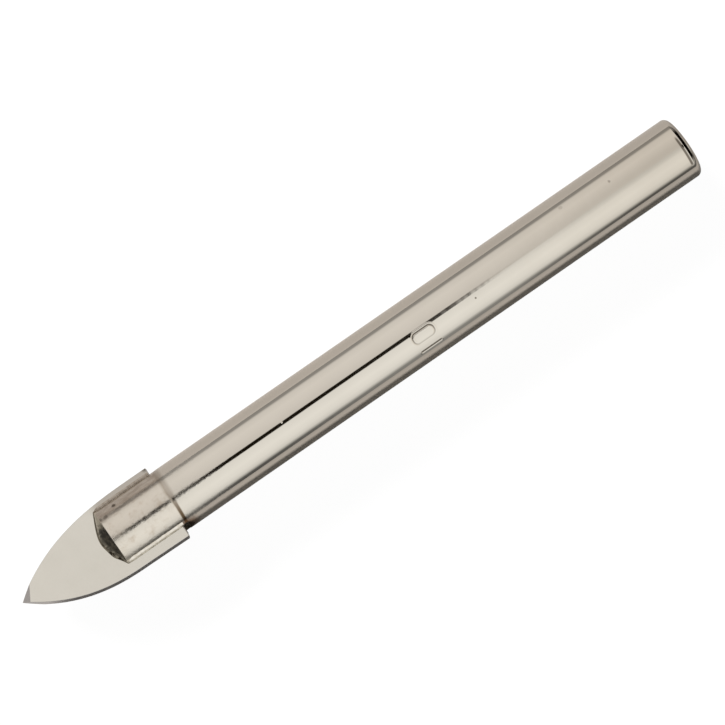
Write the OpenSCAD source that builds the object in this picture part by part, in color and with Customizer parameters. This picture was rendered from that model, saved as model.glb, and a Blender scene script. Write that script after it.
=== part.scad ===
// Spear-point drill bit for glass and tile.
// A ground carbide blade is brazed into a slot across the nose of a plain round shank.
// The bit lies along X with its point towards -X, on the surface Z = 0.

/* [Shank] */
// Diameter of the round shank
shank_d = 7.8; // [5:0.1:9]
// Length of the whole bit, from the point to the rear end
overall_length = 93; // [60:1:160]
// Radius of the rounded rear edge
rear_edge_r = 0.7; // [0.3:0.1:2.2]
// Included angle of the turned nose
nose_angle = 124; // [90:1:150]

/* [Carbide blade] */
// Width across the blade, which is the size of the drilled hole
blade_w = 9.9; // [9:0.1:16]
// Thickness of the blade
blade_t = 2.8; // [1.6:0.1:3.6]
// Length of the blade, from the point to its rear edge
blade_l = 20.15; // [17:0.05:30]
// Length of the curve along one cutting edge, from the point to where that side runs straight
ogive_l = 14.5; // [10:0.1:16]
// Length of the curve along the other cutting edge, which is ground a little fuller
full_ogive_l = 13.2; // [10:0.1:16]
// Relief angle behind each cutting edge, in degrees
relief_angle = 8.5; // [2:0.5:14]
// Length of the chisel facet on the blade's face, square to its inner border
facet_l = 1.1; // [0.4:0.1:2]
// Angle between the way the chisel facet faces and the axis, in degrees
facet_skew = 30; // [0:1:45]

/* [Brazed joint] */
// Length of the round jaws, from the nose to the blade's rear edge
jaw_l = 7.65; // [4:0.05:12]
// Thickness of the braze film on each face of the blade
braze_film = 0.06; // [0.02:0.01:0.2]
// Length of the slot behind the blade's rear edge
slot_end_l = 0.6; // [0.2:0.1:2]
// Depth of the braze below the shank's surface behind the blade
braze_setback = 0.5; // [0.1:0.1:1.5]

/* [Heat ring] */
// Distance from the blade's rear edge back to the ring
ring_setback = 0.25; // [0.1:0.05:2]
// Width of the ring
ring_w = 0.65; // [0.3:0.05:2]
// Depth of the ring below the shank's surface
ring_depth = 0.04; // [0.02:0.01:0.2]

/* [Placing] */
// Roll of the blade about the axis as the bit lies
rest_roll = 15.5; // [-30:0.5:30]

/* [Hidden] */
$fn = 96;
shank_r = shank_d / 2;
// Stations along the axis, counted from the point
jaw_x = blade_l - jaw_l;
nose_x = jaw_x - shank_r / tan(nose_angle / 2);
slot_end_x = blade_l + slot_end_l;
ring_x = blade_l + ring_setback;
// Each edge's arc rises from the axis at the point to the straight side, and meets that side without a corner.
// The rise is measured square to the leaning flank.
ogive_rise = blade_w / 2 * cos(relief_angle) - blade_t / 2 * sin(relief_angle);
facet_slope = atan(blade_t / 2 / facet_l);
slot_t = blade_t + 2 * braze_film;
// Longer than anything that it cuts
reach = 2 * overall_length;

// Lays the bit down: its middle over the origin and its lowest line on the surface
module laid_down() {
    translate([-overall_length / 2, 0, shank_r]) rotate([-rest_roll, 0, 0]) children();
}

// Turns an outline of radius and station about the axis of the bit
module turned() {
    rotate([0, 90, 0]) rotate_extrude() children();
}

// Outline of the shank before it is slotted, with the nose and the rounded rear edge
module shank_outline() {
    rear_x = overall_length - rear_edge_r;
    polygon([[0, nose_x], [shank_r, jaw_x], [shank_r, rear_x], [0, rear_x]]);
    translate([0, jaw_x]) square([shank_r - rear_edge_r, overall_length - jaw_x]);
    intersection() {
        translate([shank_r - rear_edge_r, rear_x]) circle(rear_edge_r);
        translate([0, rear_x]) square([shank_r, rear_edge_r]);
    }
}

// Section of the shallow ring
module ring_section() {
    polygon([[shank_r, ring_x], [shank_r - ring_depth, ring_x + ring_w / 2], [shank_r, ring_x + ring_w],
             [shank_r + ring_depth, ring_x + ring_w / 2]]);
}

// Plate that runs the length of the slot: from ahead of the nose to a given station
module plate(thickness, end_x) {
    translate([end_x - reach, -reach / 2, -thickness / 2]) cube([reach, reach, thickness]);
}

// Everything on the inner side of one cutting edge, whose flank leans in over the blade's thickness
module within_one_edge(curve_l) {
    edge = [0, blade_w / 2, -blade_t / 2];
    curve_r = (curve_l * curve_l + ogive_rise * ogive_rise) / (2 * ogive_rise);
    translate(edge) rotate([relief_angle, 0, 0]) linear_extrude(reach, center = true) {
        translate([curve_l, -reach]) square([reach, reach]);
        intersection() {
            translate([curve_l, -curve_r]) circle(curve_r, $fn = 360);
            translate([curve_l - reach, -reach]) square([reach, reach]);
        }
    }
}

// Everything ahead of one chisel facet
module ahead_of_one_facet() {
    rotate([0, -facet_slope, -facet_skew]) translate([-reach / 2, -reach / 2, 0]) cube(reach);
}

// Half a turn about the axis, to the opposite edge
module opposite() {
    rotate([180, 0, 0]) children();
}

module shank() {
    color("#CDC4B7") laid_down() difference() {
        turned() shank_outline();
        turned() ring_section();
        plate(slot_t, slot_end_x);
    }
}

module carbide_tip() {
    color("#B9B4AA") laid_down() difference() {
        intersection() {
            plate(blade_t, blade_l);
            within_one_edge(ogive_l);
            opposite() within_one_edge(full_ogive_l);
        }
        ahead_of_one_facet();
        opposite() ahead_of_one_facet();
    }
}

// The braze fills the slot flush with the shank along the blade, and stays below its surface behind the blade
module braze_joint() {
    color("#8A7A4E") laid_down() difference() {
        union() {
            intersection() {
                plate(slot_t, blade_l);
                turned() shank_outline();
            }
            intersection() {
                plate(slot_t, slot_end_x);
                turned() translate([0, jaw_x]) square([shank_r - braze_setback, overall_length - jaw_x]);
            }
        }
        plate(blade_t, blade_l);
    }
}

shank();
carbide_tip();
braze_joint();
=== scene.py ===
# Looks of a spear-point drill bit for glass and tile, lying on a white card under a light tent.
import math

import bmesh
import bpy
from mathutils import Matrix, Vector, noise


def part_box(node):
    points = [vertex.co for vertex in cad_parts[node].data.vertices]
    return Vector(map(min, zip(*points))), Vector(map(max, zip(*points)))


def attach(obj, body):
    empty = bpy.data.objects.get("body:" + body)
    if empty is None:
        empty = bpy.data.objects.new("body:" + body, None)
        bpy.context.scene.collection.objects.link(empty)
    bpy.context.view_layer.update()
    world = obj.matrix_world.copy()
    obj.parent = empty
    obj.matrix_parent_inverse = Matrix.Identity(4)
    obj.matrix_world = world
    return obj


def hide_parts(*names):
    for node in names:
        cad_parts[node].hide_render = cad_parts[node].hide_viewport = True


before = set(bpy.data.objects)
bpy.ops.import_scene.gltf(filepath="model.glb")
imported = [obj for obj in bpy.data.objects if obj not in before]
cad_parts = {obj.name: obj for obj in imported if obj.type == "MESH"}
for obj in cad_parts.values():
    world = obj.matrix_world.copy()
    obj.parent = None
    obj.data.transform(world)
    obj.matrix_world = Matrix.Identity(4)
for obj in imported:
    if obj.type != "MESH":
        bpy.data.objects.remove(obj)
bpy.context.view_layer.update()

MM = 0.001

# Sizes in millimetres that the solids' boxes give
shank_low, shank_high = [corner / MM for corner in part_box("shank")]
blade_low, blade_high = [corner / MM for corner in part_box("carbide_tip")]
braze_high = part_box("braze_joint")[1] / MM
shank_r = (shank_high.y - shank_low.y) / 2
overall_l = shank_high.x - blade_low.x
blade_l = blade_high.x - blade_low.x
slot_end = braze_high.x - blade_low.x

# Sizes in millimetres, and angles, that the boxes don't give
BLADE_W = 9.9
BLADE_T = 2.8
RELIEF = math.radians(8.5)
FACET_L = 1.1
FACET_SKEW = math.radians(30)
BRAZE_FILM = 0.06
BRAZE_SETBACK = 0.5
NOSE_LEAN = math.radians(124 / 2)
REAR_EDGE_R = 0.7
RING_SETBACK = 0.25
RING_W = 0.65
RING_DEPTH = 0.022
REST_ROLL = math.radians(15.5)

# The two cutting edges as ground by hand: length of the curve, the power by which it falls away,
# and the flare behind it
LEFT_EDGE = (18.3, 2.79, 0)
RIGHT_EDGE = (14.5, 2.5, 0.014)

# Small departures of the real pieces from the drawing: broken edges, a ring and a rear edge out of
# square, the crust on the nose and a turning mark near the rear end
NOSE_EDGE_R = 0.12
BLADE_EDGE = 0.03
BLADE_REAR_EDGE = 0.1
RING_SKEW = 0.045
REAR_SKEW = 0.033
CRUST_T = 0.05
REAR_MARK_SETBACK = 0.95
REAR_MARK_W = 0.44
REAR_MARK_DEPTH = 0.005

# The size number that is stamped into the shank
STAMP_FOOT = 56.5
STAMP_H = 2.84
STAMP_DEPTH = 0.036
STAMP_STROKE = 0.27
STAMP_MARGIN = 0.6

half_t = BLADE_T / 2
slot_half = half_t + BRAZE_FILM
jaw_x = shank_low.x - blade_low.x + (shank_r - slot_half) / math.tan(NOSE_LEAN)
ring_x = blade_l + RING_SETBACK
ring_middle = ring_x + RING_W / 2
ogive_rise = BLADE_W / 2 * math.cos(RELIEF) - half_t * math.sin(RELIEF)

# Edges that turn by more than this stay sharp: on the round pieces, and on the ground blade
ROUND_CREASE = math.radians(50)
GROUND_CREASE = math.radians(20)

# From millimetres along the bit, counted from its point with the blade level, to metres as it lies
LAID_DOWN = (
    Matrix.Translation(Vector((blade_low.x, 0, shank_r)) * MM)
    @ Matrix.Rotation(-REST_ROLL, 4, "X")
    @ Matrix.Scale(MM, 4)
)


def paint(code):
    """Linear colour of an sRGB hex code."""
    levels = [int(code[place:place + 2], 16) / 255 for place in (1, 3, 5)]
    return [v / 12.92 if v <= 0.04045 else ((v + 0.055) / 1.055) ** 2.4 for v in levels] + [1]


def per_metre(size_mm):
    """Scale of a pattern whose features are that many millimetres wide."""
    return 1 / (size_mm * MM)


def add(tree, kind, settings, inputs):
    """Adds a node with its settings. An input is a value, an output to link, or a node for its
    first output."""
    made = tree.nodes.new("ShaderNode" + kind)
    for name, value in settings.items():
        if name == "stops":
            ramp = made.color_ramp
            while len(ramp.elements) < len(value):
                ramp.elements.new(1)
            for element, (place, colour) in zip(ramp.elements, value):
                element.position = place
                element.color = colour
        else:
            setattr(made, name, value)
    for name, value in inputs.items():
        if isinstance(value, bpy.types.Node):
            value = value.outputs[0]
        if isinstance(value, bpy.types.NodeSocket):
            tree.links.new(value, made.inputs[name])
        else:
            made.inputs[name].default_value = value
    return made


def spread(count, low, high):
    """Evenly spread values, both ends included."""
    return [low + (high - low) * step / count for step in range(count + 1)]


def smooth_step(value, low, high):
    """Goes smoothly from 0 at low to 1 at high."""
    share = min(max((value - low) / (high - low), 0), 1)
    return share * share * (3 - 2 * share)


def bridge(bm, row, next_row, finish=0):
    """Faces between two rows of as many points."""
    for step in range(len(row) - 1):
        corners = [row[step], row[step + 1], next_row[step + 1], next_row[step]]
        bm.faces.new(corners).material_index = finish


def make_piece(bm, node, finishes, crease):
    """Lays the finished mesh down as a piece in the place of its solid, with edges past the crease
    angle sharp."""
    bmesh.ops.remove_doubles(bm, verts=bm.verts, dist=1e-5)
    bmesh.ops.recalc_face_normals(bm, faces=bm.faces)
    for face in bm.faces:
        face.smooth = True
    for edge in bm.edges:
        edge.smooth = edge.calc_face_angle(math.pi) < crease
    bm.transform(LAID_DOWN)
    mesh = bpy.data.meshes.new(node + "_mesh")
    bm.to_mesh(mesh)
    bm.free()
    for finish in finishes:
        mesh.materials.append(finish)
    piece = bpy.data.objects.new("dressed_" + node, mesh)
    bpy.context.scene.collection.objects.link(piece)
    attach(piece, "root")
    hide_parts(node)


# The shank

# Steps round each jaw and each side of the slot
JAW_STEPS = 180
SIDE_STEPS = 40
# Steps along the rod: few where it is plain, many where something is cut into it
CONE_STEPS = 28
NOSE_EDGE_STEPS = 6
JAW_RUN_STEPS = 6
RING_STEPS = 18
PLAIN_STEPS = 16
STAMP_STEPS = 84
REAR_MARK_STEPS = 16
REAR_EDGE_STEPS = 20
# How far the first plain station lies behind the nose's edge
NOSE_ROOM = 0.5
# An extra station this far from each dip keeps its slope off the long faces beside it
STATION_GUARD = 0.04
# Rings on the rear face, as shares of its radius
REAR_FACE_RINGS = (0.6, 0.2)
# The crust's lumps per millimetre, and how far it sinks below the cone, as a share of its thickness
CRUST_LUMPS = 2
CRUST_SINK = 0.4
# The lip beside a stamped stroke: place and spread in half strokes, and height as a share of the depth
LIP_PLACE = 1.5
LIP_SPREAD = 0.35
LIP_SHARE = 0.2
# Places of the two digits round the shank, from the blade's right edge
ONE_ANGLE = math.radians(144.4)
ONE_H = 2.6
NOUGHT_ANGLE = math.radians(117.9)
NOUGHT_HALF_W = 0.68
NOUGHT_CORNER = 0.58
# How deep the nought is at its middle, and how much of that it loses towards the side where its
# punch leaned away
NOUGHT_FIRM = 0.72
NOUGHT_LEAN = 0.28
# Where the turning mark near the rear end starts, is full, thins out and ends, round the shank
REAR_MARK_RUN = [math.radians(angle) for angle in (82, 95, 139, 147)]
# Where the painted shade on the rounded rear edge starts and is full, and how dark it is
RIM_RUN = (0.22, 0.42)
RIM_SHADE = 0.46


def stroke_groove(away):
    """Share of a stroke's depth, that far from its middle, below 0 on the lip that the punch pushes up."""
    share = away / (STAMP_STROKE / 2)
    lip = math.exp(-((share - LIP_PLACE) / LIP_SPREAD) ** 2)
    return max(1 - share * share, 0) - LIP_SHARE * lip


def stamp_groove(x, angle):
    """Share of the stamp's depth at a point of the shank."""
    up = STAMP_FOOT - x
    if not -STAMP_MARGIN < up < STAMP_H + STAMP_MARGIN:
        return 0
    from_one = (angle - ONE_ANGLE) * shank_r
    one = stroke_groove(math.hypot(from_one, max(-up, up - ONE_H, 0)))
    from_nought = (angle - NOUGHT_ANGLE) * shank_r
    aside = max(abs(from_nought) - NOUGHT_HALF_W + NOUGHT_CORNER, 0)
    along = max(abs(up - STAMP_H / 2) - STAMP_H / 2 + NOUGHT_CORNER, 0)
    nought = stroke_groove(abs(math.hypot(aside, along) - NOUGHT_CORNER))
    return one + nought * max(NOUGHT_FIRM - NOUGHT_LEAN * from_nought / NOUGHT_HALF_W, 0)


def ring_dip(x, angle):
    """Share of the ring's depth behind the blade."""
    aside = abs(x - ring_middle - RING_SKEW * math.cos(angle) * shank_r) / (RING_W / 2)
    return math.cos(aside * math.pi / 2) ** 2 if aside < 1 else 0


def rear_mark(x, angle):
    """Share of the turning mark's depth near the rear end. It runs over the top only."""
    aside = abs(x - overall_l + REAR_MARK_SETBACK) / (REAR_MARK_W / 2)
    start, full, thin, end = REAR_MARK_RUN
    run = smooth_step(angle, start, full) * (1 - smooth_step(angle, thin, end))
    return math.cos(aside * math.pi / 2) ** 2 * run if aside < 1 else 0


def nose_profile():
    """Stations and radii of the turned nose, from the slot's wall to its edge, and of that edge's
    rounding."""
    tangent = NOSE_EDGE_R * math.tan(NOSE_LEAN / 2)
    cone_end = shank_r - tangent * math.sin(NOSE_LEAN)
    cone = []
    for r in spread(CONE_STEPS, slot_half, cone_end):
        cone.append((jaw_x - (shank_r - r) / math.tan(NOSE_LEAN), r))
    edge = []
    for turn in spread(NOSE_EDGE_STEPS, NOSE_LEAN, 0)[1:]:
        x = jaw_x + tangent - NOSE_EDGE_R * math.sin(turn)
        edge.append((x, shank_r - NOSE_EDGE_R * (1 - math.cos(turn))))
    return cone, edge


def body_profile():
    """Stations and radii of the round shank behind the nose, up to the rear face."""
    ring_room = RING_SKEW * shank_r
    ring_start, ring_stop = ring_x - ring_room, ring_x + RING_W + ring_room
    stamp_start, stamp_stop = STAMP_FOOT - STAMP_H - STAMP_MARGIN, STAMP_FOOT + STAMP_MARGIN
    mark_middle = overall_l - REAR_MARK_SETBACK
    mark_start, mark_stop = mark_middle - REAR_MARK_W / 2, mark_middle + REAR_MARK_W / 2
    rear = overall_l - REAR_EDGE_R
    stations = spread(JAW_RUN_STEPS, jaw_x + NOSE_ROOM, ring_start - STATION_GUARD)
    stations += spread(RING_STEPS, ring_start, ring_stop) + [slot_end]
    stations += spread(PLAIN_STEPS, ring_stop + STATION_GUARD, stamp_start)
    stations += spread(STAMP_STEPS, stamp_start, stamp_stop)
    stations += spread(PLAIN_STEPS, stamp_stop, mark_start - STATION_GUARD)
    stations += spread(REAR_MARK_STEPS, mark_start, mark_stop)
    stations += [rear - STATION_GUARD / 2, rear]
    profile = [(x, shank_r) for x in sorted({round(x, 4) for x in stations})]
    for turn in spread(REAR_EDGE_STEPS, 0, math.pi / 2)[1:]:
        x = rear + REAR_EDGE_R * math.sin(turn)
        profile.append((x, shank_r - REAR_EDGE_R * (1 - math.cos(turn))))
    return profile


def turn_shank(finishes):
    """One turned rod with a slot sawn across its nose, stamped with its size."""
    bm = bmesh.new()
    # Per point: dirt in the stamp and in the turning mark, and painted shade on the rounded rear edge
    grime = bm.verts.layers.float.new("grime")
    plated, burnt = 0, 1

    def arc(x, r, start, end, steps, crust):
        """A row of points round the rod, with all that is cut into it and baked on it."""
        row = []
        for angle in spread(steps, start, end):
            groove = stamp_groove(x, angle)
            mark = rear_mark(x, angle)
            reach = r - STAMP_DEPTH * groove - RING_DEPTH * ring_dip(x, angle) - REAR_MARK_DEPTH * mark
            y, z = math.cos(angle), math.sin(angle)
            reach += crust * (noise.noise(Vector((x, y * r, z * r)) * CRUST_LUMPS) - CRUST_SINK)
            row.append(bm.verts.new((x, reach * y, reach * z)))
            # The rounded rear edge gets painted shade, kept with the dirt of the stamp and the turning mark
            rim = smooth_step(x - overall_l + REAR_EDGE_R, *RIM_RUN)
            row[-1][grime] = max(groove, math.sqrt(mark), RIM_SHADE * rim)
        return row

    cone, edge = nose_profile()
    body = body_profile()
    body_start = slot_end - 1e-3
    ahead = [(x, r) for x, r in body if x < body_start]
    behind = [(x, r) for x, r in body if x >= body_start]

    # Both jaws, from the nose back to the end of the slot
    rows = []
    for place, (x, r) in enumerate(cone + edge + ahead):
        start = math.asin(min(slot_half / r, 1))
        crust = CRUST_T * math.sin(math.pi * place / len(cone)) if place < len(cone) else 0
        upper = arc(x, r, start, math.pi - start, JAW_STEPS, crust)
        lower = arc(x, r, math.pi + start, 2 * math.pi - start, JAW_STEPS, crust)
        rows.append((upper, lower))
    # The round body behind the slot
    rings = []
    start = math.asin(slot_half / shank_r)
    for x, r in behind:
        upper = arc(x, r, start, math.pi - start, JAW_STEPS, 0)
        left = arc(x, r, math.pi - start, math.pi + start, SIDE_STEPS, 0)
        lower = arc(x, r, math.pi + start, 2 * math.pi - start, JAW_STEPS, 0)
        right = arc(x, r, -start, start, SIDE_STEPS, 0)
        rings.append((upper, left, lower, right))

    rows.append((rings[0][0], rings[0][2]))
    for place, (row, next_row) in enumerate(zip(rows, rows[1:])):
        finish = burnt if place < len(cone) else plated
        for jaw, next_jaw in zip(row, next_row):
            bridge(bm, jaw, next_jaw, finish)
            bridge(bm, [jaw[0], jaw[-1]], [next_jaw[0], next_jaw[-1]], burnt)
    left, right = rings[0][1], rings[0][3]
    bridge(bm, left, right[::-1], burnt)
    # The rear face, in rings down to its middle
    for share in REAR_FACE_RINGS:
        rows = []
        for row in rings[-1]:
            rows.append([bm.verts.new((overall_l, v.co.y * share, v.co.z * share)) for v in row])
        rings.append(rows)
    for ring, next_ring in zip(rings, rings[1:]):
        for row, next_row in zip(ring, next_ring):
            bridge(bm, row, next_row, plated)
    middle = bm.verts.new((overall_l, 0, 0))
    for row in rings[-1]:
        for one, other in zip(row, row[1:]):
            bm.faces.new([one, other, middle])
    make_piece(bm, "shank", finishes, ROUND_CREASE)


# The blade

# Sections along the curve, crowded towards the point by a power, and along the straight sides
CURVE_STEPS = 140
CURVE_CROWD = 1.3
STRAIGHT_STEPS = 4
# Near the point, a broken edge is no wider than this share of what the section measures there
EDGE_SHARE = 0.125
# A face that looks this squarely up or down is one of the two plated sides
SQUARELY = 0.99


def flank_y(x, z, edge):
    """How far out a relieved flank lies, at a station and at a height through the blade."""
    curve_l, fall, flare = edge
    drop = ogive_rise * max(1 - x / curve_l, 0) ** fall
    straight = BLADE_W / 2 + flare * max(x - curve_l, 0)
    return straight - drop / math.cos(RELIEF) - (z + half_t) * math.tan(RELIEF)


def blade_section(x, inset):
    """Corners of the blade's section, each broken by a narrow land, and drawn in by an inset."""
    section = []
    for edge, turned in ((LEFT_EDGE, 1), (RIGHT_EDGE, -1)):
        land = min(BLADE_EDGE, (flank_y(x, -half_t, edge) + flank_y(x, half_t, edge)) * EDGE_SHARE)
        top = half_t - inset
        for z, back in ((top, land), (top - land, 0), (land - top, 0), (-top, land)):
            y = flank_y(x, z, edge) - back - inset
            section.append((x, turned * y, turned * z))
    return section


def grind_blade(finishes):
    """One carbide plate: a curved spear point, a relieved flank behind each edge and two facets at the
    point."""
    bm = bmesh.new()
    plated, ground = 0, 1
    straight_x = max(LEFT_EDGE[0], RIGHT_EDGE[0])
    stations = [straight_x * (step / CURVE_STEPS) ** CURVE_CROWD for step in range(CURVE_STEPS + 1)]
    stations += spread(STRAIGHT_STEPS, straight_x, blade_l - BLADE_REAR_EDGE)[1:]
    rows = [blade_section(x, 0) for x in stations]
    rows.append(blade_section(blade_l, BLADE_REAR_EDGE))
    for place in (-2, -1):
        rows[place] = [(x + REAR_SKEW * y, y, z) for x, y, z in rows[place]]
    rows = [[bm.verts.new(corner) for corner in row] for row in rows]
    for row, next_row in zip(rows, rows[1:]):
        bridge(bm, row + row[:1], next_row + next_row[:1])
    bm.faces.new(rows[-1])
    bmesh.ops.remove_doubles(bm, verts=bm.verts, dist=1e-5)
    # The two facets at the point
    slope = math.atan(half_t / FACET_L)
    facing = Vector((-math.cos(FACET_SKEW), math.sin(FACET_SKEW), 0)) * math.sin(slope)
    facing.z = math.cos(slope)
    for normal in (facing, Vector((facing.x, -facing.y, -facing.z))):
        everything = bm.verts[:] + bm.edges[:] + bm.faces[:]
        cut = bmesh.ops.bisect_plane(
            bm, geom=everything, plane_co=(0, 0, 0), plane_no=normal, clear_outer=True)
        edges = [e for e in cut["geom_cut"] if isinstance(e, bmesh.types.BMEdge)]
        bmesh.ops.holes_fill(bm, edges=edges, sides=0)
    bmesh.ops.recalc_face_normals(bm, faces=bm.faces)
    for face in bm.faces:
        face.material_index = plated if abs(face.normal.z) > SQUARELY else ground
    make_piece(bm, "carbide_tip", finishes, GROUND_CREASE)


# The braze

# Points along one side of a jaw, and round half of its nose
JAW_SIDE_STEPS = 90
HALF_NOSE_STEPS = 60
# Across the bead, in millimetres out along the blade's face and up along the jaw: full on the right
# side of the jaw, drawn out thin on the left and small at the nose
RIGHT_BEAD = [(0.13, -0.02), (0.12, 0.14), (0.08, 0.26), (0, 0.35),
              (-0.1, 0.43), (-0.22, 0.52), (-0.4, 0.2)]
LEFT_BEAD = [(0.42, -0.02), (0.31, 0.02), (0.2, 0.05), (0.1, 0.09),
             (0.02, 0.13), (-0.06, 0.2), (-0.3, 0.1)]
NOSE_BEAD = [(0.12, -0.02), (0.1, 0.04), (0.07, 0.08), (0.03, 0.13),
             (0, 0.19), (-0.05, 0.26), (-0.2, 0.1)]
# Where the bead goes over from the nose to the sides, along the bit, and from right to left, across it
NOSE_RUN = (-0.1, 0.7)
SIDE_RUN = (-1.5, 1.5)
# The bead's lumps per millimetre, their share of its size, how much of that share the left side lacks,
# and how far apart in the pattern the two jaws' lumps are
BEAD_LUMPS = 1.7
LUMP_SHARE = 0.15
LUMP_LOSS = 0.1
LUMP_SHIFT = 3
# The shoulder of the nose that stands out on the right: place across, spread and reach
SHOULDER_Y = -2
SHOULDER_SPREAD = 0.8
SHOULDER_OUT = 0.17
# How far the film under a jaw is drawn back, and what is left of its width, inside the bead
FILM_BACK = 0.05
FILM_WIDTH = 0.98
# The plug: steps along and across it, how hollow it is, and the height and closeness of its ripples
PLUG_STEPS = 4
PLUG_ARC_STEPS = 12
PLUG_HOLLOW = 0.12
PLUG_RIPPLE = 0.05
PLUG_RIPPLES_ALONG = 3
PLUG_RIPPLES_ROUND = 6


def junction_path():
    """Points along the joint of one jaw with the blade's face, from its rear, round the nose and back."""
    side_y = math.sqrt(shank_r**2 - slot_half**2)
    half = [(x, side_y) for x in spread(JAW_SIDE_STEPS, blade_l, jaw_x)[:-1]]
    for share in spread(HALF_NOSE_STEPS, 0, 1):
        r = slot_half + (shank_r - slot_half) * (1 - share) ** 2
        half.append((jaw_x - (shank_r - r) / math.tan(NOSE_LEAN), math.sqrt(r**2 - slot_half**2)))
    return half + [(x, -y) for x, y in half[-2::-1]]


def run_braze(finishes):
    """The filler: a film under each jaw with a bead round its border, and a plug behind the blade."""
    bm = bmesh.new()
    path = junction_path()
    for side in (1, -1):
        rows = []
        for place, (x, y) in enumerate(path):
            before = Vector(path[max(place - 1, 0)])
            after = Vector(path[min(place + 1, len(path) - 1)])
            along = (after - before).normalized()
            out = Vector((along.y, -along.x))
            lumps = noise.noise(Vector((x * BEAD_LUMPS, y * BEAD_LUMPS, side * LUMP_SHIFT)))
            nose = 1 - smooth_step(x - jaw_x, *NOSE_RUN)
            left = smooth_step(side * y, *SIDE_RUN)
            shoulder = math.exp(-((side * y - SHOULDER_Y) / SHOULDER_SPREAD) ** 2)
            row = []
            for right_point, left_point, nose_point in zip(RIGHT_BEAD, LEFT_BEAD, NOSE_BEAD):
                point = Vector(right_point).lerp(Vector(left_point), left).lerp(Vector(nose_point), nose)
                far, high = point * (1 + (LUMP_SHARE - LUMP_LOSS * left) * lumps)
                if far > 0:
                    far += SHOULDER_OUT * nose * shoulder
                spot = Vector((x, y)) + out * far
                row.append(bm.verts.new((spot.x, spot.y, side * (half_t + high))))
            rows.append(row)
        for row, next_row in zip(rows, rows[1:]):
            bridge(bm, row + row[:1], next_row + next_row[:1])
        bm.faces.new(rows[0])
        bm.faces.new(rows[-1])
        # The film, inside the bead's border
        levels = []
        for z in (half_t, slot_half):
            levels.append([bm.verts.new((x + FILM_BACK, y * FILM_WIDTH, side * z)) for x, y in path])
        bridge(bm, levels[0] + levels[0][:1], levels[1] + levels[1][:1])
        for level in levels:
            bm.faces.new(level)
    # The plug, set back from the shank's surface
    plug_r = shank_r - BRAZE_SETBACK
    lean = math.asin(slot_half / plug_r)
    angles = spread(PLUG_ARC_STEPS, -lean, lean)
    angles += spread(PLUG_ARC_STEPS, math.pi - lean, math.pi + lean)
    columns = []
    for x in spread(PLUG_STEPS, blade_l, slot_end):
        hollow = PLUG_HOLLOW * math.sin(math.pi * (x - blade_l) / (slot_end - blade_l))
        column = []
        for angle in angles:
            pattern = Vector((x * PLUG_RIPPLES_ALONG, angle * PLUG_RIPPLES_ROUND, 1))
            reach = plug_r - hollow + PLUG_RIPPLE * noise.noise(pattern)
            column.append(bm.verts.new((x, reach * math.cos(angle), plug_r * math.sin(angle))))
        columns.append(column)
    for column, next_column in zip(columns, columns[1:]):
        bridge(bm, column + column[:1], next_column + next_column[:1])
    bm.faces.new(columns[0])
    bm.faces.new(columns[-1])
    make_piece(bm, "braze_joint", finishes, ROUND_CREASE)


# Materials

SOFT = {"interpolation_type": "SMOOTHSTEP"}


def start_material(name):
    """A material without nodes yet, and the place of each point on the bit as it lies."""
    material = bpy.data.materials.new(name)
    material.use_nodes = True
    tree = material.node_tree
    tree.nodes.clear()
    return material, tree, add(tree, "TexCoord", {}, {}).outputs["Object"]


def end_material(tree, inputs):
    """Adds the shader and the output."""
    shader = add(tree, "BsdfPrincipled", {}, inputs)
    add(tree, "OutputMaterial", {}, {"Surface": shader})


def station(x):
    """Where a station along the bit, in millimetres from its point, lies in metres."""
    return (x + blade_low.x) * MM


def on_top(x, y):
    """The point on top of the lying shank at that station and that far across."""
    return station(x), y * MM, (shank_r + math.sqrt(shank_r**2 - y**2)) * MM


def height_in_blade(tree, place):
    """Height of each point over the middle of the blade's thickness, square to the blade's face."""
    face_up = (LAID_DOWN.to_3x3() @ Vector((0, 0, 1))).normalized()
    lifted = add(tree, "VectorMath", {"operation": "SUBTRACT"}, {0: place, 1: LAID_DOWN.translation})
    height = add(tree, "VectorMath", {"operation": "DOT_PRODUCT"}, {0: lifted, 1: face_up})
    return height.outputs["Value"]


# Specks in the plate on top of the shank: station, place across, radius and strength
SPECKS = [(12.6, 2.72, 0.34, 0.45), (13.3, 2.66, 0.4, 0.5), (14.8, 3.26, 0.42, 0.9),
          (62.4, -0.8, 0.16, 0.8), (76.5, 2.2, 0.4, 0.2), (82.85, 1.5, 0.3, 0.4)]
# A pimple in the plate: station, place across and radius
PIMPLE = (35.9, 0.14, 0.15)


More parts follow.
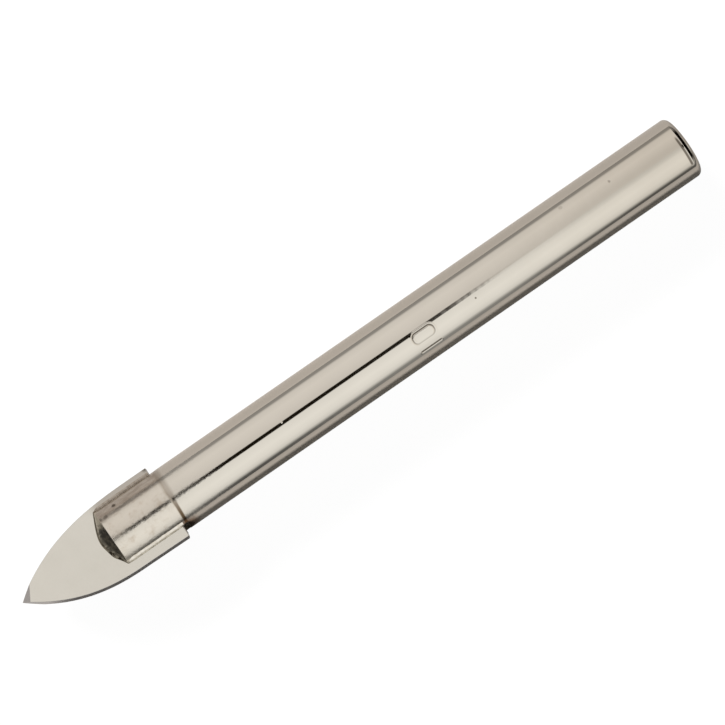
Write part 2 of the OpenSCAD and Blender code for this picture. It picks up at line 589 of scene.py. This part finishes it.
def bright_nickel_plate():
    """Bright nickel over turned steel, barrel polished. A warm silver mirror that the torch has dulled
    round the blade: rougher and faintly mottled on the jaws, brown on their left side and in the ring,
    and stained at the slot's end."""
    material, tree, place = start_material("bright_nickel_plate")
    spot = add(tree, "SeparateXYZ", {}, {"Vector": place})
    along, across = spot.outputs["X"], spot.outputs["Y"]

    # Polishing marks run along the shank. Real ones are about 0.02 mm wide, and these are wider so
    # that they show
    stretched = add(tree, "Mapping", {}, {"Vector": place, "Scale": (0.03, 1, 1)})
    marks = add(tree, "TexNoise", {}, {"Vector": stretched, "Scale": per_metre(0.3), "Detail": 3})
    haze = add(tree, "TexNoise", {}, {"Vector": place, "Scale": per_metre(5), "Detail": 2})
    clean = add(tree, "MixRGB", {}, {"Fac": haze, "Color1": paint("#E1DBCF"), "Color2": paint("#DAD4C8")})
    peel = add(tree, "TexNoise", {}, {"Vector": place, "Scale": per_metre(1.4), "Detail": 1})

    # The jaws, mottled by heat up to the ring
    blotch = add(tree, "TexNoise", {}, {
        "Vector": place, "Scale": per_metre(1.2), "Detail": 5, "Roughness": 0.65})
    grit = add(tree, "TexNoise", {}, {
        "Vector": place, "Scale": per_metre(0.4), "Detail": 4, "Roughness": 0.6})
    wander = add(tree, "Math", {"operation": "MULTIPLY_ADD"}, {0: blotch, 1: 0.8 * MM, 2: along})
    heat = add(tree, "MapRange", SOFT, {
        "Value": wander, "From Min": station(ring_middle + 0.2), "From Max": station(ring_middle + 0.8),
        "To Min": 1, "To Max": 0})
    brown = add(tree, "MapRange", SOFT, {"Value": blotch, "From Min": 0.46, "From Max": 0.8})
    heated = add(tree, "MixRGB", {}, {"Fac": brown, "Color1": paint("#DED7CA"), "Color2": paint("#C8BCAC")})
    # Browner streaks on the left side
    drawn = add(tree, "Mapping", {}, {"Vector": place, "Scale": (0.3, 1, 1)})
    streaks = add(tree, "TexNoise", {}, {
        "Vector": drawn, "Scale": per_metre(0.4), "Detail": 6, "Roughness": 0.7})
    streaky = add(tree, "MapRange", SOFT, {
        "Value": streaks, "From Min": 0.36, "From Max": 0.64, "To Min": 0.3})
    left = add(tree, "MapRange", SOFT, {"Value": across, "From Min": 2 * MM, "From Max": 2.8 * MM})
    scorch = add(tree, "Math", {"operation": "MULTIPLY"}, {0: left, 1: streaky})
    heated = add(tree, "MixRGB", {}, {"Fac": scorch, "Color1": heated, "Color2": paint("#B4A89A")})
    base = add(tree, "MixRGB", {}, {"Fac": heat, "Color1": clean, "Color2": heated})

    # The ring, narrower and browner towards the right side
    square = add(tree, "Math", {"operation": "MULTIPLY_ADD"}, {0: across, 1: -RING_SKEW, 2: along})
    off_ring = add(tree, "Math", {"operation": "SUBTRACT"}, {0: square, 1: station(ring_middle)})
    near_ring = add(tree, "Math", {"operation": "ABSOLUTE"}, {0: off_ring})
    half_ring = add(tree, "MapRange", SOFT, {
        "Value": across, "From Min": -1 * MM, "From Max": 1 * MM, "To Min": 0.3 * MM, "To Max": 0.66 * MM})
    ring = add(tree, "MapRange", SOFT, {
        "Value": near_ring, "From Min": 0.1 * MM, "From Max": half_ring, "To Min": 1, "To Max": 0})
    side = add(tree, "MapRange", SOFT, {
        "Value": across, "From Min": -2.2 * MM, "From Max": 1.2 * MM, "To Min": 1, "To Max": 0.36})
    ringed = add(tree, "Math", {"operation": "MULTIPLY"}, {0: ring, 1: side})
    base = add(tree, "MixRGB", {}, {"Fac": ringed, "Color1": base, "Color2": paint("#6A5842")})

    # The stain round the open end of the slot, on the side that is raised
    pocket = LAID_DOWN @ Vector((slot_end - 0.35, -shank_r, 0.4))
    reach = add(tree, "VectorMath", {"operation": "DISTANCE"}, {0: place, 1: pocket})
    ragged = add(tree, "Math", {"operation": "MULTIPLY_ADD"}, {
        0: grit, 1: -0.9 * MM, 2: reach.outputs["Value"]})
    rust = add(tree, "MapRange", SOFT, {
        "Value": ragged, "From Min": 0.7 * MM, "From Max": 1.7 * MM, "To Min": 0.8, "To Max": 0})
    base = add(tree, "MixRGB", {}, {"Fac": rust, "Color1": base, "Color2": paint("#7E5E42")})
    stain = add(tree, "MapRange", SOFT, {
        "Value": ragged, "From Min": 0.35 * MM, "From Max": 0.85 * MM, "To Min": 0.97, "To Max": 0})
    base = add(tree, "MixRGB", {}, {"Fac": stain, "Color1": base, "Color2": paint("#22150B")})

    # Specks in the plate, dirt in the stamp and in the turning mark, and painted shade on the rounded rear
    # edge
    darkening = add(tree, "Attribute", {"attribute_name": "grime"}, {})
    spoilt_and_shaded = add(tree, "MapRange", SOFT, {
        "Value": darkening.outputs["Fac"], "From Min": 0.1, "From Max": 0.9, "To Max": 0.8})
    for x, y, radius, strength in SPECKS:
        away = add(tree, "VectorMath", {"operation": "DISTANCE"}, {0: place, 1: on_top(x, y)})
        uneven = add(tree, "Math", {"operation": "MULTIPLY_ADD"}, {
            0: grit, 1: radius * MM, 2: away.outputs["Value"]})
        speck = add(tree, "MapRange", SOFT, {
            "Value": uneven, "From Min": 0.8 * radius * MM, "From Max": 1.4 * radius * MM,
            "To Min": strength, "To Max": 0})
        spoilt_and_shaded = add(tree, "Math", {"operation": "MAXIMUM"}, {0: spoilt_and_shaded, 1: speck})
    base = add(tree, "MixRGB", {}, {"Fac": spoilt_and_shaded, "Color1": base, "Color2": paint("#4C4134")})

    polish = add(tree, "MapRange", {}, {"Value": marks, "To Min": 0.035, "To Max": 0.065})
    dull = add(tree, "MapRange", {}, {"Value": grit, "To Min": 0.08, "To Max": 0.2})
    rippled = add(tree, "MapRange", SOFT, {
        "Value": along, "From Min": station(ring_middle), "From Max": station(ring_middle + 10),
        "To Min": 1, "To Max": 0})
    hazed = add(tree, "Math", {"operation": "MULTIPLY_ADD"}, {0: rippled, 1: 0.1, 2: polish})
    rough = add(tree, "Mix", {}, {"Factor": heat, "A": hazed, "B": dull})
    front = add(tree, "MapRange", SOFT, {
        "Value": along, "From Min": station(jaw_x), "From Max": station(jaw_x + 3),
        "To Min": 0.12, "To Max": 0})
    rough = add(tree, "Math", {"operation": "ADD"}, {0: rough, 1: front})
    rough = add(tree, "Mix", {}, {"Factor": stain, "A": rough, "B": 0.6})

    # Heights in millimetres
    wavy = add(tree, "Math", {"operation": "MULTIPLY"}, {0: peel, 1: 0.0025})
    fine = add(tree, "Math", {"operation": "MULTIPLY_ADD"}, {0: marks, 1: 0.0006, 2: wavy})
    lumps = add(tree, "Math", {"operation": "MULTIPLY_ADD"}, {0: blotch, 1: 1.4, 2: grit})
    scaled = add(tree, "Math", {"operation": "MULTIPLY"}, {0: lumps, 1: 0.013})
    height = add(tree, "Mix", {}, {"Factor": rippled, "A": fine, "B": scaled})
    height = add(tree, "Math", {"operation": "MULTIPLY_ADD"}, {0: spoilt_and_shaded, 1: -0.01, 2: height})
    x, y, radius = PIMPLE
    away = add(tree, "VectorMath", {"operation": "DISTANCE"}, {0: place, 1: on_top(x, y)})
    pimple = add(tree, "MapRange", SOFT, {
        "Value": away.outputs["Value"], "From Max": radius * MM, "To Min": 0.02, "To Max": 0})
    height = add(tree, "Math", {"operation": "ADD"}, {0: height, 1: pimple})
    bump = add(tree, "Bump", {}, {"Height": height, "Distance": MM})
    end_material(tree, {"Base Color": base, "Metallic": 1, "Roughness": rough, "Normal": bump})
    return material


# Colours of the worn flux, from the jaw's edge down to the blade
WORN_FLUX = [(0, "#8A8475"), (0.3, "#A29C8E"), (0.6, "#A29C8E"), (0.82, "#7E786B"), (0.95, "#4E483D")]


def burnt_flux():
    """Flux baked on by the brazing torch. A brown-black crust with hardly any shine, streaked with grey
    along the blade and worn down to pale grey on the left side."""
    material, tree, place = start_material("burnt_flux")
    across = add(tree, "SeparateXYZ", {}, {"Vector": place}).outputs["Y"]
    crumbs = add(tree, "TexNoise", {}, {
        "Vector": place, "Scale": per_metre(0.45), "Detail": 5, "Roughness": 0.7})
    # Greyer towards the right side
    greyer = add(tree, "Math", {"operation": "MULTIPLY_ADD"}, {0: across, 1: -45, 2: crumbs})
    dark = add(tree, "MapRange", SOFT, {"Value": greyer, "From Min": 0.38, "From Max": 0.7})
    crust = add(tree, "MixRGB", {}, {"Fac": dark, "Color1": paint("#120F0A"), "Color2": paint("#4A453A")})
    # Streaks down the slope, near the blade's face
    low = add(tree, "MapRange", SOFT, {
        "Value": height_in_blade(tree, place),
        "From Min": slot_half * MM, "From Max": (slot_half + 1) * MM, "To Min": 1, "To Max": 0})
    thin = add(tree, "MapRange", {}, {
        "Value": crumbs, "From Min": 0.35, "From Max": 0.65, "To Min": 0.4, "To Max": 0.9})
    ashen = add(tree, "Math", {"operation": "MULTIPLY"}, {0: thin, 1: low})
    crust = add(tree, "MixRGB", {}, {"Fac": ashen, "Color1": crust, "Color2": paint("#7E796C")})
    drawn = add(tree, "Mapping", {}, {"Vector": place, "Scale": (0.25, 1, 0.25)})
    streaks = add(tree, "TexNoise", {}, {"Vector": drawn, "Scale": per_metre(0.25), "Detail": 3})
    grey = add(tree, "MapRange", SOFT, {"Value": streaks, "From Min": 0.5, "From Max": 0.66})
    rim = add(tree, "Math", {"operation": "MULTIPLY"}, {0: grey, 1: low})
    crust = add(tree, "MixRGB", {}, {"Fac": rim, "Color1": crust, "Color2": paint("#9A9486")})
    # Worn on the left side, where what is left of it lies in streaks along the blade
    leftward = add(tree, "Math", {"operation": "MULTIPLY_ADD"}, {0: streaks, 1: 2 * MM, 2: across})
    worn = add(tree, "MapRange", SOFT, {
        "Value": leftward, "From Min": 2.4 * MM, "From Max": 3.7 * MM, "To Max": 0.9})
    ragged = add(tree, "Math", {"operation": "MULTIPLY_ADD"}, {0: streaks, 1: 0.4, 2: low})
    share = add(tree, "MapRange", {}, {"Value": ragged, "From Min": 0.2, "From Max": 1.2})
    stops = [(at, paint(code)) for at, code in WORN_FLUX]
    bared = add(tree, "ValToRGB", {"stops": stops}, {"Fac": share})
    crust = add(tree, "MixRGB", {}, {"Fac": worn, "Color1": crust, "Color2": bared})
    rough = add(tree, "MapRange", {}, {"Value": crumbs, "To Min": 0.5, "To Max": 0.85})
    bump = add(tree, "Bump", {}, {"Height": crumbs, "Distance": 0.06 * MM})
    end_material(tree, {
        "Base Color": crust, "Roughness": rough, "Normal": bump, "Specular IOR Level": 0.25})
    return material


def satin_plated_carbide():
    """Nickel over the sintered face of the blade. An even warm satin with a fine grain, tarnished beside
    the left of the jaws."""
    material, tree, place = start_material("satin_plated_carbide")
    spot = add(tree, "SeparateXYZ", {}, {"Vector": place})
    cloud = add(tree, "TexNoise", {}, {"Vector": place, "Scale": per_metre(2.5), "Detail": 4})
    # Sintered grain is under 0.01 mm, and this is coarser so that it shows
    grain = add(tree, "TexNoise", {}, {"Vector": place, "Scale": per_metre(0.16), "Detail": 3})
    base = add(tree, "MixRGB", {}, {"Fac": cloud, "Color1": paint("#E7E4DA"), "Color2": paint("#DEDBD0")})
    behind = add(tree, "MapRange", SOFT, {
        "Value": spot.outputs["X"], "From Min": station(jaw_x - 0.8), "From Max": station(jaw_x + 1.2)})
    left = add(tree, "MapRange", SOFT, {
        "Value": spot.outputs["Y"], "From Min": 3.2 * MM, "From Max": 4.2 * MM})
    tarnish = add(tree, "Math", {"operation": "MULTIPLY"}, {0: behind, 1: left})
    base = add(tree, "MixRGB", {}, {"Fac": tarnish, "Color1": base, "Color2": paint("#C2BCB2")})
    # Painted shade on the left rear corner of the blade, beside the slot's end
    corner = LAID_DOWN @ Vector((blade_l, flank_y(blade_l, half_t, LEFT_EDGE), half_t))
    reach = add(tree, "VectorMath", {"operation": "DISTANCE"}, {0: place, 1: corner})
    corner_shade = add(tree, "MapRange", SOFT, {
        "Value": reach.outputs["Value"], "From Min": 0.1 * MM, "From Max": 0.6 * MM,
        "To Min": 0.8, "To Max": 0})
    base = add(tree, "MixRGB", {}, {"Fac": corner_shade, "Color1": base, "Color2": paint("#5A544B")})
    rough = add(tree, "MapRange", {}, {"Value": grain, "To Min": 0.15, "To Max": 0.25})
    bump = add(tree, "Bump", {}, {"Height": grain, "Distance": 0.0008 * MM})
    end_material(tree, {"Base Color": base, "Metallic": 1, "Roughness": rough, "Normal": bump})
    return material


def ground_carbide():
    """Bare tungsten carbide off the diamond wheel. Cool grey, with grinding lines along the edge."""
    material, tree, place = start_material("ground_carbide")
    # Wheel grit leaves lines of about 0.02 mm, drawn wider so that they show
    drawn = add(tree, "Mapping", {}, {"Vector": place, "Scale": (0.05, 0.6, 1)})
    lines = add(tree, "TexNoise", {}, {"Vector": drawn, "Scale": per_metre(0.1), "Detail": 3})
    base = add(tree, "MixRGB", {}, {"Fac": lines, "Color1": paint("#CECCCA"), "Color2": paint("#BAB8B6")})
    rough = add(tree, "MapRange", {}, {"Value": lines, "To Min": 0.2, "To Max": 0.36})
    bump = add(tree, "Bump", {}, {"Height": lines, "Distance": 0.002 * MM})
    end_material(tree, {"Base Color": base, "Metallic": 1, "Roughness": rough, "Normal": bump})
    return material


def tinned_braze():
    """Filler that ran out of the joint and was plated over with the shank. Pale on the right side, with
    painted shade broken up along the foot of the bead there, brown on the left, and black with flux at the
    nose and behind the blade."""
    material, tree, place = start_material("tinned_braze")
    spot = add(tree, "SeparateXYZ", {}, {"Vector": place})
    patches = add(tree, "TexNoise", {}, {"Vector": place, "Scale": per_metre(0.5), "Detail": 4})
    thin = add(tree, "MapRange", SOFT, {"Value": patches, "From Min": 0.4, "From Max": 0.6})
    pale = add(tree, "MixRGB", {}, {"Fac": thin, "Color1": paint("#DED6C8"), "Color2": paint("#EAE4D8")})
    brown = add(tree, "MixRGB", {}, {"Fac": thin, "Color1": paint("#A79C8E"), "Color2": paint("#BBB1A4")})
    black = add(tree, "MixRGB", {}, {"Fac": thin, "Color1": paint("#2A231A"), "Color2": paint("#7E7769")})
    left = add(tree, "MapRange", SOFT, {
        "Value": spot.outputs["Y"], "From Min": 0.6 * MM, "From Max": 2.6 * MM})
    base = add(tree, "MixRGB", {}, {"Fac": left, "Color1": pale, "Color2": brown})
    black = add(tree, "MixRGB", {}, {"Fac": left, "Color1": black, "Color2": paint("#6A6457")})
    # Painted shade along the foot of the bead on the right side, in the crease with the blade's face
    foot = add(tree, "MapRange", SOFT, {
        "Value": height_in_blade(tree, place),
        "From Min": (half_t + 0.05) * MM, "From Max": (half_t + 0.3) * MM, "To Min": 1, "To Max": 0})
    broken = add(tree, "MapRange", {}, {"Value": thin, "To Min": 1, "To Max": 0.3})
    darkening = add(tree, "Math", {"operation": "MULTIPLY"}, {0: foot, 1: broken})
    right = add(tree, "Math", {"operation": "SUBTRACT"}, {0: 1, 1: left})
    darkening = add(tree, "Math", {"operation": "MULTIPLY"}, {0: darkening, 1: right})
    base = add(tree, "MixRGB", {}, {"Fac": darkening, "Color1": base, "Color2": paint("#7E7567")})
    # Flux at the nose and behind the blade
    nose = add(tree, "MapRange", SOFT, {
        "Value": spot.outputs["X"], "From Min": station(jaw_x - 0.3), "From Max": station(jaw_x + 0.1),
        "To Min": 1, "To Max": 0})
    behind = add(tree, "MapRange", SOFT, {
        "Value": spot.outputs["X"], "From Min": station(blade_l), "From Max": station(blade_l + 0.1)})
    burnt = add(tree, "Math", {"operation": "MAXIMUM"}, {0: nose, 1: behind})
    base = add(tree, "MixRGB", {}, {"Fac": burnt, "Color1": base, "Color2": black})
    rough = add(tree, "MapRange", {}, {"Value": patches, "To Min": 0.3, "To Max": 0.2})
    bump = add(tree, "Bump", {}, {"Height": patches, "Distance": 0.003 * MM})
    end_material(tree, {"Base Color": base, "Metallic": 1, "Roughness": rough, "Normal": bump})
    return material


# Stage

DARK_CLOTH = "#1A150E"
# The card's two ends, its right border and its left border, in metres
CARD_END = 0.25
CARD_RIGHT = -0.16
CARD_LEFT = 0.11


def lay_card():
    """The white card that the bit lies on. The camera sees it white with the bit's faint shadow."""
    bm = bmesh.new()
    corners = [(-CARD_END, CARD_RIGHT), (CARD_END, CARD_RIGHT),
               (CARD_END, CARD_LEFT), (-CARD_END, CARD_LEFT)]
    bm.faces.new([bm.verts.new((x, y, 0)) for x, y in corners])
    mesh = bpy.data.meshes.new("white_card_mesh")
    bm.to_mesh(mesh)
    bm.free()
    card = bpy.data.objects.new("white_card", mesh)
    bpy.context.scene.collection.objects.link(card)
    material, tree, _ = start_material("white_card_stock")
    lit = add(tree, "BsdfDiffuse", {}, {"Color": paint("#E8E5E2")})
    white = add(tree, "Emission", {}, {"Strength": 0.96})
    shaded = add(tree, "BsdfDiffuse", {}, {"Color": paint("#686868")})
    seen = add(tree, "AddShader", {}, {0: white, 1: shaded})
    rays = add(tree, "LightPath", {}, {})
    mixed = add(tree, "MixShader", {}, {0: rays.outputs["Is Camera Ray"], 1: lit, 2: seen})
    add(tree, "OutputMaterial", {}, {"Surface": mixed})
    mesh.materials.append(material)


def leaning(start, end):
    """From where to where along the bit a ray leans, by two angles in degrees."""
    return {"From Min": math.sin(math.radians(start)), "From Max": math.sin(math.radians(end))}


# Light of the tent's walls by the angle over the bit in degrees, from its right side, over the top, to
# its left. The foot of the right wall is dark at the front and paler at the middle, and the rear of the
# tent has levels of its own
TENT_LIMIT = 120
FRONT_FOOT = [(-95, 0.1), (-82, 0.11), (-76, 0.5), (-70, 0.82)]
MIDDLE_FOOT = [(-95, 0.28), (-82, 0.3), (-76, 0.56), (-70, 0.84)]
TENT = [(-56, 0.97), (-36, 1.03), (-10, 0.95), (-1, 0.9), (1, 0.74), (14, 0.78),
        (28, 0.83), (50, 0.87), (72, 0.8), (76, 0.7), (82, 0.34), (95, 0.31)]
REAR_TENT = [(-95, 0.11), (-84, 0.125), (-78, 0.5), (-72, 0.82), (-57, 0.97), (-36, 1.03),
             (-15, 0.965), (-7, 0.835), (0, 0.755), (7, 0.725), (14, 0.718), (22, 0.74),
             (37, 0.8), (50, 0.85), (72, 0.8), (76, 0.7), (82, 0.34), (95, 0.31)]
WARM = (1, 0.97, 0.955)
# Along the bit: where the front goes over into the middle and that into the rear, where the light fades
# and where the slit ends
TO_MIDDLE = leaning(3, 5.8)
TO_REAR = leaning(6.8, 9.2)
FADING = leaning(6, 11)
SLIT_END = leaning(6.3, 7.1)
# Half the slit, across the bit, to the start and to the end of its soft border
SLIT_CORE = math.radians(4.7)
SLIT_RIM = math.radians(7)


def pitch_tent():
    """The tent: white behind the bit. The metal mirrors two pale walls and the slit that the camera
    looks through."""
    world = bpy.data.worlds.new("light_tent")
    bpy.context.scene.world = world
    world.use_nodes = True
    world.cycles.sampling_method = "NONE"
    tree = world.node_tree
    tree.nodes.clear()
    ray = add(tree, "TexCoord", {}, {})
    parts = add(tree, "SeparateXYZ", {}, {"Vector": ray.outputs["Generated"]}).outputs
    along = parts["X"]
    over = add(tree, "Math", {"operation": "ARCTAN2"}, {0: parts["Y"], 1: parts["Z"]})
    limit = math.radians(TENT_LIMIT)
    share = add(tree, "MapRange", {}, {"Value": over, "From Min": -limit, "From Max": limit})
    ramps = []
    for levels in (FRONT_FOOT + TENT, MIDDLE_FOOT + TENT, REAR_TENT):
        stops = []
        for angle, level in levels:
            tint = WARM if angle > 0 else (1, 1, 1)
            stops.append(((angle / TENT_LIMIT + 1) / 2, [level * part for part in tint] + [1]))
        ramps.append(add(tree, "ValToRGB", {"stops": stops}, {"Fac": share}))
    front, middle, rear = ramps
    inward = add(tree, "MapRange", SOFT, {"Value": along, **TO_MIDDLE})
    walls = add(tree, "MixRGB", {}, {"Fac": inward, "Color1": front, "Color2": middle})
    rearward = add(tree, "MapRange", SOFT, {"Value": along, **TO_REAR})
    walls = add(tree, "MixRGB", {}, {"Fac": rearward, "Color1": walls, "Color2": rear})
    fading = add(tree, "MapRange", SOFT, {"Value": along, **FADING})
    faded = add(tree, "MixRGB", {"blend_type": "MULTIPLY"}, {
        "Fac": fading, "Color1": walls, "Color2": paint("#F6F3EF")})
    aside = add(tree, "Math", {"operation": "ABSOLUTE"}, {0: over})
    slit = add(tree, "MapRange", SOFT, {
        "Value": aside, "From Min": SLIT_CORE, "From Max": SLIT_RIM, "To Min": 1, "To Max": 0})
    slit_end = add(tree, "MapRange", SOFT, {"Value": along, **SLIT_END, "To Min": 1, "To Max": 0})
    gap = add(tree, "Math", {"operation": "MULTIPLY"}, {0: slit, 1: slit_end})
    mirrored = add(tree, "MixRGB", {}, {"Fac": gap, "Color1": faded, "Color2": paint(DARK_CLOTH)})
    rays = add(tree, "LightPath", {}, {}).outputs
    fill = add(tree, "MixRGB", {}, {
        "Fac": rays["Is Glossy Ray"], "Color1": paint("#686868"), "Color2": mirrored})
    seen = add(tree, "MixRGB", {}, {
        "Fac": rays["Is Camera Ray"], "Color1": fill, "Color2": paint("#FFFFFF")})
    shown = add(tree, "Background", {}, {"Color": seen})
    add(tree, "OutputWorld", {}, {"Surface": shown})


# The hood in millimetres: its gap over the shank, and its start and end behind the start of the rear edge
HOOD_GAP = 0.25
HOOD_START = 0.045
HOOD_END = 1.5
# How far round it reaches, to the right and to the left, and in how many steps
HOOD_RIGHT = math.radians(-46)
HOOD_LEFT = math.radians(56)
HOOD_STEPS = 30
# Its cloth in millimetres: its middle across the bit, where it starts and stops thinning out on either
# side of that, where it starts to thin towards the far border, and the share that is left there
HOOD_MIDDLE = 0.15
HOOD_CORE = 1.8
HOOD_RIM = 3.4
HOOD_BORDER = 0.8
HOOD_BORDER_SHARE = 0.3


def hang_hood():
    """A small black hood arched over the rear end, out of the picture. Only the rounded rear edge
    mirrors it."""
    bm = bmesh.new()
    rear = station(overall_l - REAR_EDGE_R)
    hood_r = shank_r + HOOD_GAP
    rows = []
    for behind in (HOOD_START, HOOD_END):
        row = []
        for lean in spread(HOOD_STEPS, HOOD_RIGHT, HOOD_LEFT):
            y, z = hood_r * math.sin(lean), hood_r * math.cos(lean)
            row.append(bm.verts.new((rear + behind * MM, y * MM, (shank_r + z) * MM)))
        rows.append(row)
    bridge(bm, *rows)
    mesh = bpy.data.meshes.new("black_hood_mesh")
    bm.to_mesh(mesh)
    bm.free()
    hood = bpy.data.objects.new("black_hood", mesh)
    bpy.context.scene.collection.objects.link(hood)
    hood.visible_camera = False
    hood.visible_diffuse = False
    hood.visible_shadow = False
    material, tree, place = start_material("black_hood_cloth")
    # Thinner cloth towards its two ends and its far border
    spot = add(tree, "SeparateXYZ", {}, {"Vector": place})
    off_middle = add(tree, "Math", {"operation": "SUBTRACT"}, {
        0: spot.outputs["Y"], 1: HOOD_MIDDLE * MM})
    aside = add(tree, "Math", {"operation": "ABSOLUTE"}, {0: off_middle})
    ends = add(tree, "MapRange", SOFT, {
        "Value": aside, "From Min": HOOD_CORE * MM, "From Max": HOOD_RIM * MM, "To Min": 1, "To Max": 0})
    border = add(tree, "MapRange", SOFT, {
        "Value": spot.outputs["X"], "From Min": rear + HOOD_BORDER * MM, "From Max": rear + HOOD_END * MM,
        "To Min": 1, "To Max": HOOD_BORDER_SHARE})
    thick = add(tree, "Math", {"operation": "MULTIPLY"}, {0: ends, 1: border})
    cloth = add(tree, "BsdfDiffuse", {}, {"Color": paint(DARK_CLOTH)})
    gauze = add(tree, "BsdfTransparent", {}, {})
    mixed = add(tree, "MixShader", {}, {0: thick, 1: gauze, 2: cloth})
    add(tree, "OutputMaterial", {}, {"Surface": mixed})
    mesh.materials.append(material)


# The lamp's place and its two sides in metres, its power in watts and its tint
LAMP_PLACE = Vector((-0.32, 0.82, 0.45))
LAMP_SIDES = (0.6, 0.24)
LAMP_POWER = 12.4
LAMP_TINT = (1, 0.96, 0.95)


def hang_key_lamp():
    """A soft lamp on the left side, for the shadow on the card. The metal mirrors the tent instead."""
    lamp = bpy.data.lights.new("key_lamp", "AREA")
    lamp.shape = "RECTANGLE"
    lamp.size, lamp.size_y = LAMP_SIDES
    lamp.energy = LAMP_POWER
    lamp.color = LAMP_TINT
    holder = bpy.data.objects.new("key_lamp", lamp)
    holder.location = LAMP_PLACE
    holder.rotation_euler = (-LAMP_PLACE).to_track_quat("-Z", "Y").to_euler()
    holder.visible_glossy = False
    bpy.context.scene.collection.objects.link(holder)


# The camera looks down on the bit from over its point
CAMERA_FAR = 0.507
CAMERA_LEAN = math.radians(5.04)
CAMERA_LENS = 218.35
CAMERA_SENSOR = 36
BIT_SLOPE = math.radians(34.69)
AIM = Vector((1.28, 0.497, 3.9)) * MM


def set_camera():
    """Long lens, rolled so that the bit rises to the right."""
    data = bpy.data.cameras.new("camera")
    data.lens = CAMERA_LENS
    data.sensor_width = CAMERA_SENSOR
    camera = bpy.data.objects.new("camera", data)
    back = Vector((-math.sin(CAMERA_LEAN), 0, math.cos(CAMERA_LEAN)))
    along = Vector((math.cos(CAMERA_LEAN), 0, math.sin(CAMERA_LEAN)))
    across = Vector((0, 1, 0))
    right = math.cos(BIT_SLOPE) * along - math.sin(BIT_SLOPE) * across
    up = math.sin(BIT_SLOPE) * along + math.cos(BIT_SLOPE) * across
    turn = Matrix((right, up, back)).transposed().to_4x4()
    camera.matrix_world = Matrix.Translation(AIM + back * CAMERA_FAR) @ turn
    bpy.context.scene.collection.objects.link(camera)
    bpy.context.scene.camera = camera


turn_shank([bright_nickel_plate(), burnt_flux()])
grind_blade([satin_plated_carbide(), ground_carbide()])
run_braze([tinned_braze()])
lay_card()
pitch_tent()
hang_hood()
hang_key_lamp()
set_camera()
bpy.context.scene.view_settings.view_transform = "Standard"
